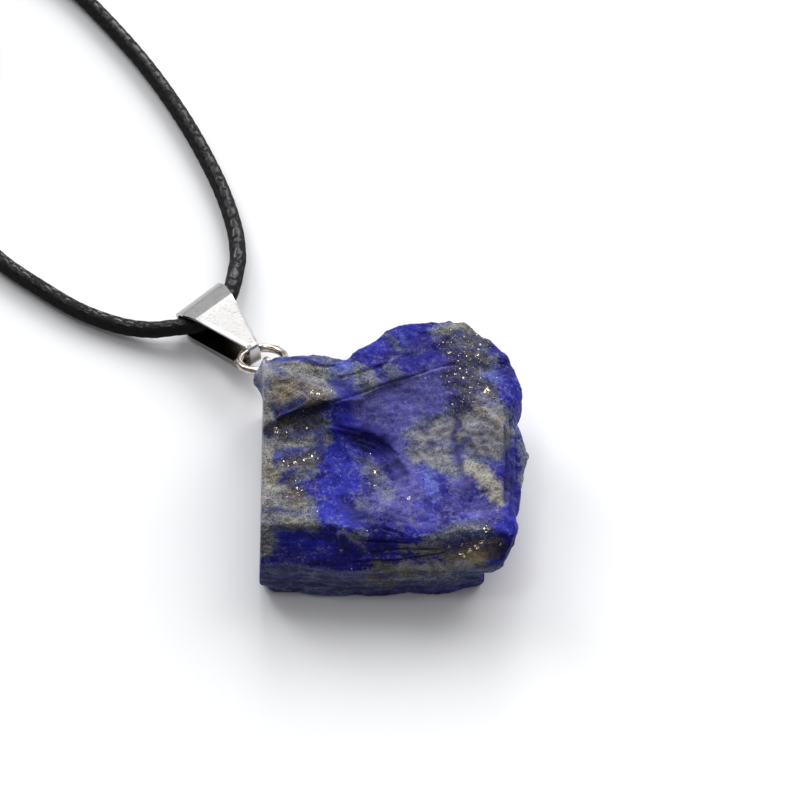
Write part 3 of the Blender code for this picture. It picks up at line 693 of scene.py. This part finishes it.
def cord_material():
    """Black waxed thread: its crowns are polished, its grooves dull."""
    n = Nodes("waxed_cord")
    place = n.place()
    fibres = n.noise(place, 0.14, 4.0, 0.7)
    high = n.mask("braid")
    # The grooves are a little darker than the crowns: painted shade between the strands
    colour = n.mix(n.steps(high, 0.1, 0.8), (0.0012, 0.0012, 0.0014), (0.0045, 0.0045, 0.0052))
    frayed = n.maths("MULTIPLY", n.steps(fibres, 0.58, 0.8), high)
    colour = n.mix(frayed, colour, (0.035, 0.034, 0.036))
    upward = n.new("ShaderNodeSeparateXYZ", Vector=n.tree.nodes.new("ShaderNodeNewGeometry").outputs["Normal"])
    upper = n.steps(upward.outputs["Z"], 0.55, 0.80)
    worn = n.steps(n.noise(place, 0.7, 1.0, 0.5), 0.38, 0.56)
    rubbed = n.maths("MULTIPLY", n.maths("MULTIPLY", n.steps(high, 0.55, 0.70), upper), worn)
    rough = n.between(rubbed, 0.85, 0.22)
    return n.finish(
        Base_Color=colour, Roughness=rough, Normal=n.bump(fibres, 0.004, 0.5), Specular_IOR_Level=0.26
    )


# Stone


def photo_place(points):
    """Where points, in millimetres, show in the photograph's frame."""
    sine, cosine = math.sin(CAMERA_ELEVATION), math.cos(CAMERA_ELEVATION)
    eye = np.array(CAMERA_TARGET) + np.array((0.0, -cosine, sine)) * CAMERA_DISTANCE
    away = points - eye
    depth = away @ np.array((0.0, cosine, -sine))
    scale = PHOTO_PIXELS * CAMERA_LENS / SENSOR
    across = PHOTO_PIXELS / 2 + scale * away[:, 0] / depth
    down = PHOTO_PIXELS / 2 - scale * (away @ np.array((0.0, sine, cosine))) / depth
    return np.stack([across, down], axis=1)


def from_line(places, line):
    """How far each place is from a line of points."""
    best = np.full(len(places), np.inf)
    line = np.array(line, float)
    for a, b in zip(line, line[1:]):
        share = np.clip((places - a) @ (b - a) / max((b - a) @ (b - a), 1e-9), 0.0, 1.0)
        best = np.minimum(best, np.linalg.norm(places - a - share[:, None] * (b - a), axis=1))
    return best


def field(points, size, octaves=1, shift=0.0):
    """Smooth noise between about -1 and 1, over millimetres."""
    move = Vector((shift, shift * 0.7, -shift))
    return np.array([noise.fractal(Vector(p) / size + move, 1.0, 2.0, octaves) for p in points])


def stone_surface():
    """The stone's solid with its facets smoothed away, as a fine even mesh."""
    work = bpy.data.objects.new("work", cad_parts["stone"].data.copy())
    bpy.context.scene.collection.objects.link(work)
    remesh = work.modifiers.new("remesh", "REMESH")
    remesh.mode = "VOXEL"
    remesh.voxel_size = VOXEL * MM
    smooth = work.modifiers.new("smooth", "SMOOTH")
    smooth.iterations = SMOOTHING_STEPS
    mesh = bpy.data.meshes.new_from_object(work.evaluated_get(bpy.context.evaluated_depsgraph_get()))
    bpy.data.objects.remove(work)
    mesh.name = "lapis_stone"
    return mesh


def mesh_points(mesh):
    points = np.empty(len(mesh.vertices) * 3, np.float32)
    mesh.vertices.foreach_get("co", points)
    return points.reshape(-1, 3).astype(float) / MM


def mesh_normals(mesh):
    normals = np.empty(len(mesh.vertices) * 3, np.float32)
    mesh.vertex_normals.foreach_get("vector", normals)
    return normals.reshape(-1, 3).astype(float)


def add_mask(mesh, name, value):
    layer = mesh.attributes.new(name, "FLOAT", "POINT")
    layer.data.foreach_set("value", np.clip(value, 0.0, 1.0).astype(np.float32))


def carve(points, normals, places, rough):
    """Moves the surface inwards where it is pitted, chipped, grooved or cracked."""
    depth = 0.16 + 0.14 * field(points, 1.9, 3, 5.0)
    depth += 0.07 * field(points, 0.6, 3, 9.0)
    depth += 0.22 * np.clip(field(points, 1.0, 3, 2.0), 0.0, None) * rough
    cracks = np.zeros(len(points))
    for width, deep, *line in GROOVES:
        near = np.clip(1.0 - from_line(places, line) / width, 0.0, 1.0)
        cracks = np.maximum(cracks, deep * near)
    for width, height, *line in DENTS:
        depth -= height * smooth_step(1.0 - from_line(places, line) / width)
    return depth, cracks


def build_stone(lapis):
    mesh = stone_surface()
    points, normals = mesh_points(mesh), mesh_normals(mesh)
    places = photo_place(points)
    warp = np.stack([field(points, 1.9, 2, 1.0), field(points, 1.9, 2, 4.0)], axis=1) * 4.5
    warp += np.stack([field(points, 0.7, 2, 7.0), field(points, 0.7, 2, 8.0)], axis=1) * 2.2
    masks = {}
    for name, strokes in STROKES.items():
        value = np.zeros(len(points))
        for width, strength, *line in strokes:
            near = from_line(places + warp * min(width / 6.0, 1.0), line)
            soft = width * 0.5 + EDGE_SOFTNESS
            inside = smooth_step((width + soft - near) / (2.0 * soft))
            value = np.maximum(value, strength * inside)
        masks[name] = value
    # glint: spots of painted highlight on grains that face the camera
    glint = np.zeros(len(points))
    for across, down, radius in GLINTS:
        near = np.hypot(*(places - (across, down)).T)
        facing = normals @ np.array((0.0, -math.cos(CAMERA_ELEVATION), math.sin(CAMERA_ELEVATION)))
        glint = np.maximum(glint, (near < radius) * (facing > 0.0))
    sawn_out = np.array((-math.cos(SAWN_LEAN), 0.0, math.sin(SAWN_LEAN)))
    from_saw = np.abs((points - (SAWN_X, 0.0, 4.0)) @ sawn_out)
    masks["sawn"] = (normals @ sawn_out > 0.9) * (from_saw < 0.4)
    # painted highlight along the sawn edge, where the surface faces up
    masks["painted_edge_highlight"] = smooth_step((0.16 - from_saw) / 0.10) * smooth_step((normals[:, 2] - 0.1) / 0.2)
    masks["glint"] = glint
    front = smooth_step((-normals[:, 1] - 0.72) / 0.15) * smooth_step((FRONT_WALL_TOP + 0.4 - points[:, 2]) / 0.8)
    masks["wall"] = front
    masks["layered"] = smooth_step((-points[:, 1] - 14.6) / 1.6) * smooth_step((-normals[:, 1] - 0.25) / 0.3)
    low = smooth_step((1.7 + 0.5 * field(points, 2.5, 2, 3.0) - points[:, 2]) / 1.2)
    masks["wall_foot"] = front * low * smooth_step((points[:, 0] - 0.0 + 3.0 * field(points, 3.0, 1, 6.0)) / 3.0)

    rough = 0.4 + 0.6 * np.maximum(masks["gray"], masks["tan"]) - 0.25 * masks["violet"]
    depth, cracks = carve(points, normals, places, rough)
    flats = smooth_step((np.minimum(points[:, 2], from_saw) - 0.05) / 0.6)
    moved = points - normals * ((depth + cracks) * flats)[:, None]
    moved[:, 2] = np.maximum(moved[:, 2], 0.0)
    mesh.vertices.foreach_set("co", (moved * MM).astype(np.float32).ravel())
    # Grooves and cracks darken the dark mask as well: painted shade inside them
    masks["dark"] = np.maximum(masks["dark"], cracks / 0.3 * 0.8)
    for name, value in masks.items():
        add_mask(mesh, name, value)
    mesh.materials.clear()
    mesh.materials.append(lapis)
    mesh.shade_smooth()
    mesh.update()
    stone = link("lapis_stone", mesh, "stone")
    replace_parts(stone, "stone")
    return stone


# Cord


def smooth_route(points, spacing):
    """Evenly spaced points on a Catmull-Rom curve through the route, in millimetres."""
    ends = [points[0] * 2 - points[1], *points, points[-1] * 2 - points[-2]]
    fine = []
    for a, b, c, d in zip(ends, ends[1:], ends[2:], ends[3:]):
        bend = a * 2 - b * 5 + c * 4 - d
        twist = b * 3 - a - c * 3 + d
        fine += [(b * 2 + (c - a) * t + bend * t**2 + twist * t**3) / 2 for t in np.arange(20) / 20.0]
    fine.append(points[-1])
    fine = np.array(fine)
    travelled = np.concatenate([[0.0], np.cumsum(np.linalg.norm(np.diff(fine, axis=0), axis=1))])
    spots = np.linspace(0.0, travelled[-1], int(travelled[-1] / spacing))
    return np.array([np.interp(spots, travelled, fine[:, axis]) for axis in range(3)]).T, spots


def coil_turns(first_angle, height):
    """The turns of one strand, wound inwards in one layer, then the way in to the knot."""
    points = []
    angle = 15.0
    while first_angle + angle < COIL_ENDS_AT:
        inward = min(angle / 50.0, 1.0) + sum(
            min(max((angle - turn) / 50.0, 0.0), 1.0) for turn in (360.0, 720.0)
        )
        points.append((first_angle + angle, COIL_OUTER_TURN + CORD_THICK * (1.0 - inward), height))
        angle += 15.0
    inner = points[-1][1]
    for share in (0.25, 0.5, 0.75, 1.0):
        rise = height + (KNOT_MIDDLE.z - height) * share * 0.7
        points.append((COIL_ENDS_AT + 67.0 * share, inner + (4.5 - inner) * share, rise))
    return [
        COIL_MIDDLE + Vector((radius * math.cos(math.radians(at)), radius * math.sin(math.radians(at)), z))
        for at, radius, z in points
    ]


def braid_height(turn, travelled):
    """How high the braid stands at a turn round the cord, from 0 in its grooves to 1."""
    best = np.zeros(np.broadcast(turn, travelled).shape)
    worn = np.zeros(best.shape)
    for column in range(BRAID_COLUMNS):
        lean = BRAID_LEAN if column % 2 else -BRAID_LEAN
        middle = 2.0 * math.pi * column / BRAID_COLUMNS
        across = (turn - middle + math.pi) % (2.0 * math.pi) - math.pi
        across = across * CORD_THICK / 2.0
        along = travelled / BRAID_STITCH + 0.5 * (column % 2)
        for neighbour in (-1.0, 0.0, 1.0):
            ahead = (along - np.floor(along) - 0.5 + neighbour) * BRAID_STITCH
            u = across * math.cos(lean) + ahead * math.sin(lean)
            v = ahead * math.cos(lean) - across * math.sin(lean)
            best = np.maximum(best, 1.0 - (u / OVAL_WIDTH) ** 2 - (v / OVAL_LENGTH) ** 4)
            worn = np.maximum(worn, 1.0 - (u / FLAT_WIDTH) ** 2 - (v / OVAL_LENGTH) ** 4)
    return np.sqrt(best) - FLAT_DEPTH * worn


def carried_along(tangents):
    """A direction at right angles to the path at each point, carried along without a twist."""
    side = np.cross(tangents[0], (0.0, 0.0, 1.0))
    sides = []
    for tangent in tangents:
        side = side - tangent * (side @ tangent)
        side /= np.linalg.norm(side)
        sides.append(side)
    return np.array(sides)


def tube(name, path, heights, thick, depth):
    """A tube along a path in millimetres, with the relief that heights give it."""
    tangents = np.gradient(path, axis=0)
    tangents /= np.linalg.norm(tangents, axis=1)[:, None]
    side = carried_along(tangents)
    over = np.cross(side, tangents)
    count, sides = heights.shape
    turns = np.arange(sides) * 2.0 * math.pi / sides
    radius = thick / 2.0 - depth * (1.0 - heights)
    ring = side[:, None, :] * np.cos(turns)[None, :, None] + over[:, None, :] * np.sin(turns)[None, :, None]
    points = path[:, None, :] + ring * radius[:, :, None]
    corners = np.arange(count * sides).reshape(count, sides)
    beside = np.roll(corners, -1, axis=1)
    faces = np.stack([corners[:-1], beside[:-1], beside[1:], corners[1:]], axis=-1).reshape(-1, 4)
    ends = [list(corners[0][::-1]), list(corners[-1])]
    mesh = solid(name, points.reshape(-1, 3), faces.tolist() + ends)
    add_mask(mesh, "braid", heights.ravel())
    return mesh


def solid(name, points, faces):
    """A smooth mesh from points in millimetres, its faces turned outwards."""
    mesh = bpy.data.meshes.new(name)
    mesh.from_pydata((np.array(points) * MM).tolist(), [], faces)
    bm = bmesh.new()
    bm.from_mesh(mesh)
    bmesh.ops.recalc_face_normals(bm, faces=bm.faces)
    bm.to_mesh(mesh)
    bm.free()
    mesh.shade_smooth()
    return mesh


def braided_tube(name, path, travelled, thick=CORD_THICK, sides=36, turned=0.0):
    turns = np.arange(sides) * 2.0 * math.pi / sides - turned
    heights = braid_height(turns[None, :], travelled[:, None])
    return tube(name, path, heights, thick, BRAID_DEPTH * thick / CORD_THICK)


def build_knot(waxed):
    """The overhand knot that closes the two ends, drawn tight."""
    turn = np.linspace(0.0, 2.0 * math.pi, 120)
    reach = KNOT_REACH
    path = np.stack([
        (np.sin(turn) + 2.0 * np.sin(2.0 * turn)) * reach[0],
        (np.cos(turn) - 2.0 * np.cos(2.0 * turn)) * reach[1],
        -np.sin(3.0 * turn) * reach[2],
    ], axis=1) + np.array(KNOT_MIDDLE - ORIGIN_AT)
    travelled = np.concatenate([[0.0], np.cumsum(np.linalg.norm(np.diff(path, axis=0), axis=1))])
    mesh = braided_tube("cord_knot_tied", path, travelled, KNOT_STRAND)
    mesh.materials.append(waxed)
    knot = link("cord_knot_tied", mesh, "hanger")
    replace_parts(knot, "cord_knot")


def build_cords(waxed):
    plans = [
        ("cord_to_top", STRAND_TO_TOP, 64.4, 2.7, 0.0, "cord"),
        ("cord_to_left", STRAND_TO_LEFT, -16.3, 0.95, 20.0, "cord_coil"),
    ]
    for name, strand, first_angle, height, turned, node in plans:
        turns = coil_turns(first_angle, height)
        route = [Vector(point) - ORIGIN_AT for point in [*strand, *turns]]
        path, travelled = smooth_route(route, 0.15)
        mesh = braided_tube(name, path, travelled, turned=math.radians(turned))
        mesh.materials.append(waxed)
        piece = link(name, mesh, "hanger")
        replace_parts(piece, node)


# Bail, ring and eye


def arc(middle, reach, height, first, last, steps):
    """Points on an oval arc, between two angles in degrees."""
    turns = np.radians(np.linspace(first, last, steps + 1))
    return [(middle[0] + reach * math.cos(turn), middle[1] + height * math.sin(turn)) for turn in turns]


def bail_profile():
    """The strip's middle line seen from its side: (lengthwise, upwards), round the fold and the foot."""
    half = (BAIL_THICKNESS - BAIL_STRIP) / 2.0
    reach = BAIL_REACH - BAIL_STRIP / 2.0
    low = BAIL_LOW_ROUND
    length = BAIL_FOLD_LENGTH - BAIL_STRIP / 2.0
    points = arc((BAIL_FOLD_SHIFT, 0.0), length, half, -90.0, -180.0, 24)
    crease, flatter = math.cos(FOLD_CREASE), BAIL_CREASE_AT - BAIL_FOLD_SHIFT + length
    for turn in np.linspace(0.0, FOLD_CREASE, 25)[1:]:
        back = (math.cos(turn) - crease) / (1.0 - crease)
        points.append((BAIL_CREASE_AT - flatter * back, half * math.sin(turn) / math.sin(FOLD_CREASE)))
    points += [(BAIL_CREASE_AT + 0.05, half)]
    points += [(reach * share, half) for share in (0.3, 0.4, 0.55, 0.7, 0.85)]
    points += [(reach - BAIL_END_BEVEL - 0.05, half), (reach - BAIL_END_BEVEL, half), (reach - 0.05, half - END_BEVEL_DROP)]
    points += [(reach - 0.01, half - 0.12), (reach, half - 0.3), (reach, half - 0.6)]
    points += arc((reach - low, low - half), low, low, -18.0, -90.0, 16)
    return points + [(reach * share, -half) for share in (0.6, 0.45, 0.3)]


def bail_section(half_width, cut):
    """Corners across the strip: (across, above its middle line, whether inside, whether on a bevel)."""
    half = BAIL_STRIP / 2.0
    left = min(BAIL_LEFT_BEVEL, half_width * 0.7)
    right = min(BAIL_RIGHT_BEVEL, half_width * 0.35)
    return [
        (-half_width, half - LEFT_BEVEL_DROP * cut, 0.0, cut),
        (left - half_width, half, 0.0, cut),
        (left - half_width + 0.05, half, 0.0, 0.0),
        (half_width - right, half, 0.0, 0.0),
        (half_width, half - BEVEL_DROP * cut, 0.0, 0.0),
        (half_width, 0.04 - half, 0.0, 0.0),
        (half_width - 0.04, -half, 1.0, 0.0),
        (0.0, -half, 1.0, 0.0),
        (0.04 - half_width, -half, 1.0, 0.0),
        (-half_width, 0.04 - half, 0.0, 0.0),
    ]


def build_bail(steel):
    """A bevelled strip folded round the cord and closed at its foot, narrowing from fold to foot."""
    profile = np.array(bail_profile())
    upward = -FOLD_AXIS.cross(BAIL_LENGTHWISE).normalized()
    points, inside, bevel = [], [], []
    for i, point in enumerate(profile):
        tangent = profile[(i + 1) % len(profile)] - profile[i - 1]
        tangent /= np.linalg.norm(tangent)
        share = min(max(point[0] / (BAIL_REACH - 0.4), 0.0), 1.0)
        half_width = (BAIL_WIDTH + (BAIL_FOOT_WIDTH - BAIL_WIDTH) * share) / 2.0
        askew = BAIL_SKEW * BAIL_WIDTH * (1.0 - share) ** 2
        near_end = float(point[0] > BAIL_REACH - BAIL_STRIP / 2.0 - BAIL_END_BEVEL - 0.02 and point[1] > 1.0)
        cut = min(max((point[0] - BAIL_CREASE_AT) / 1.2, 0.0), 1.0) * float(point[1] > 1.0)
        for across, above, within, bevelled in bail_section(half_width, cut):
            spot = point + np.array((-tangent[1], tangent[0])) * above
            place = BAIL_MIDDLE - ORIGIN_AT + BAIL_LENGTHWISE * float(spot[0]) + upward * float(spot[1])
            place += FOLD_AXIS * across - BAIL_LENGTHWISE * askew * (1.0 + across / half_width) / 2.0
            points.append(place)
            # painted shade near the foot, carried in the inside mask together with the inner faces
            painted_foot_shade = min(max((1.75 - point[1]) / 1.4, 0.0), 0.9) * (point[0] > BAIL_REACH - 1.8 and point[1] > -1.2)
            inside.append(max(within, painted_foot_shade))
            bevel.append(max(bevelled, near_end))
    corners = np.arange(len(points)).reshape(len(profile), -1)
    ahead, beside = np.roll(corners, -1, axis=0), np.roll(corners, -1, axis=1)
    faces = np.stack([corners, ahead, np.roll(ahead, -1, axis=1), beside], axis=-1).reshape(-1, 4)
    mesh = solid("bail_strip", points, faces.tolist())
    add_mask(mesh, "inside", np.array(inside))
    add_mask(mesh, "bevel", np.array(bevel))
    mesh.set_sharp_from_angle(angle=math.radians(5.0))
    mesh.materials.append(steel)
    strip = link("bail_strip", mesh, "hanger")
    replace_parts(strip, "bail")


def wire_loop(name, middle, first, second, radius, wire, gap_at, gap):
    """A wire bent round from one side of a gap to the other, in the plane of two directions."""
    turns = np.linspace(gap_at + gap / 2.0, gap_at + 2.0 * math.pi - gap / 2.0, 97)
    first, second = np.array(first.normalized()), np.array(second.normalized())
    path = np.outer(np.cos(turns), first) + np.outer(np.sin(turns), second)
    path = path * radius + np.array(middle - ORIGIN_AT)
    return tube(name, path, np.ones((len(path), 24)), wire * 2.0, 0.0)


def build_rings(plated):
    level = Vector((math.cos(RING_HEADING), math.sin(RING_HEADING), 0.0))
    downhill = Vector((-level.y, level.x, 0.0))
    slope = Vector((0.0, 0.0, math.sin(RING_TILT))) - downhill * math.cos(RING_TILT)
    eye = RING_MIDDLE + (level * math.sin(EYE_TURN) + slope * math.cos(EYE_TURN)) * RING_RADIUS
    upright = Vector((0.0, 0.0, 1.0))
    ring = wire_loop(
        "ring_wire", RING_MIDDLE, level, slope, RING_RADIUS, RING_WIRE, RING_GAP_AT, RING_GAP
    )
    loop = wire_loop("eye_wire", eye, PIN_INTO_STONE, upright, EYE_RADIUS, EYE_WIRE, 0.0, 0.02)
    from_eye = np.linspace(EYE_RADIUS - 0.1, EYE_RADIUS + PIN_LENGTH, 6)
    shank = np.outer(from_eye, PIN_INTO_STONE) + np.array(eye - ORIGIN_AT)
    shank = tube("eye_shank", shank, np.ones((6, 24)), EYE_WIRE * 2.0, 0.0)
    for mesh, body, node in ((ring, "ring", "jump_ring"), (loop, "stone", "eye_pin"), (shank, "stone", "eye_pin")):
        mesh.set_sharp_from_angle(angle=math.radians(40.0))
        mesh.materials.append(plated)
        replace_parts(link(mesh.name, mesh, body), node)


# Studio


def build_studio():
    bpy.context.scene.view_settings.view_transform = "Standard"
    bpy.ops.mesh.primitive_plane_add(size=4.0, location=(0.0, 0.0, -0.00002))
    table = bpy.context.object
    table.name = "table"
    n = Nodes("table")
    n.finish(Base_Color=(0.85, 0.85, 0.855), Roughness=0.7, Specular_IOR_Level=0.1)
    table.data.materials.append(n.material)
    world = bpy.data.worlds.new("studio")
    bpy.context.scene.world = world
    world.use_nodes = True
    n = Nodes.of_tree(world.node_tree)
    direction = n.tree.nodes.new("ShaderNodeTexCoord").outputs["Generated"]
    light = FILL_STRENGTH
    for azimuth, elevation, focus, strength in GLOWS:
        turn, rise = math.radians(azimuth), math.radians(elevation)
        toward = n.tree.nodes.new("ShaderNodeVectorMath")
        toward.operation = "DOT_PRODUCT"
        n.put(toward.inputs[0], direction)
        toward.inputs[1].default_value = (
            math.sin(turn) * math.cos(rise), math.cos(turn) * math.cos(rise), math.sin(rise)
        )
        glow = n.maths("POWER", n.maths("MAXIMUM", toward.outputs["Value"], 0.0), focus)
        light = n.maths("ADD", n.maths("MULTIPLY", glow, strength), light)
    n.put(n.tree.nodes["Background"].inputs["Strength"], light)
    n.put(n.tree.nodes["Background"].inputs["Color"], (0.98, 0.985, 1.0))


def build_camera():
    lens = bpy.data.cameras.new("camera")
    lens.lens = CAMERA_LENS
    lens.sensor_width = SENSOR
    lens.clip_start = 0.01
    camera = bpy.data.objects.new("camera", lens)
    back = Vector((0.0, -math.cos(CAMERA_ELEVATION), math.sin(CAMERA_ELEVATION)))
    camera.location = (CAMERA_TARGET + back * CAMERA_DISTANCE) * MM
    camera.rotation_euler = (math.radians(90.0) - CAMERA_ELEVATION, 0.0, 0.0)
    bpy.context.scene.collection.objects.link(camera)
    bpy.context.scene.camera = camera


def main():
    build_camera()
    build_studio()
    waxed = cord_material()
    build_cords(waxed)
    build_stone(lapis_material())
    build_knot(waxed)
    build_bail(steel_material())
    build_rings(plated_material())


main()
